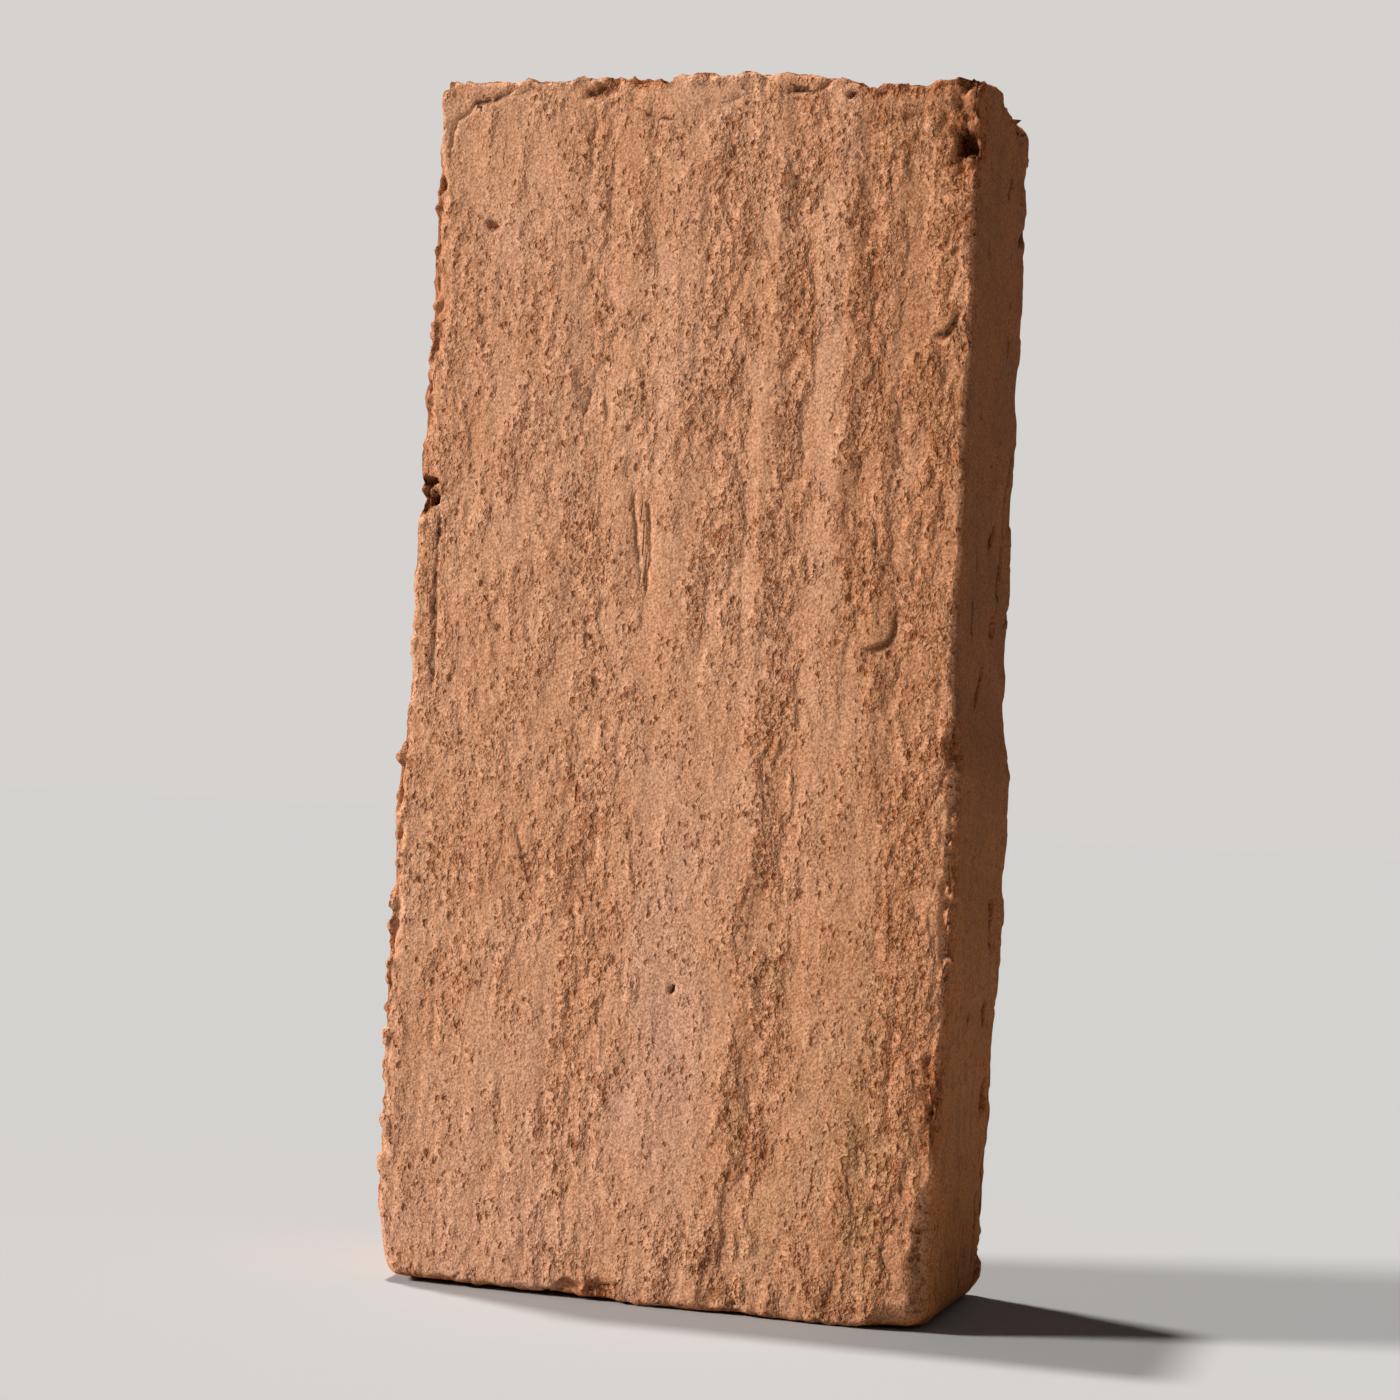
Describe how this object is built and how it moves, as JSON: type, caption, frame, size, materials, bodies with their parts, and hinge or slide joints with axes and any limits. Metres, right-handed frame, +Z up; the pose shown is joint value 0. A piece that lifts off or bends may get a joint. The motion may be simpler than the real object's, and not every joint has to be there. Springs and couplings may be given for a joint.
{
  "type": "clay brick",
  "caption": "Solid rectangular fired-clay brick, hand moulded, with a wavy dragged face, ragged worn edges and chipped corners, for masonry.",
  "frame": {"origin": "middle of the bounding box at the level of the foot, the end the brick stands on", "axes": "+Z up along the brick's length, +X across its width towards the side with the worn lower corner, -Y out of the struck (dragged) face, +Y out of the plane bed"},
  "size_m": [0.115, 0.0521, 0.24],
  "materials": {
    "fired_clay": "matt, dusty, unglazed fired clay"
  },
  "bodies": {
    "root": {"clay_brick": "fired_clay"}
  },
  "joints": []
}
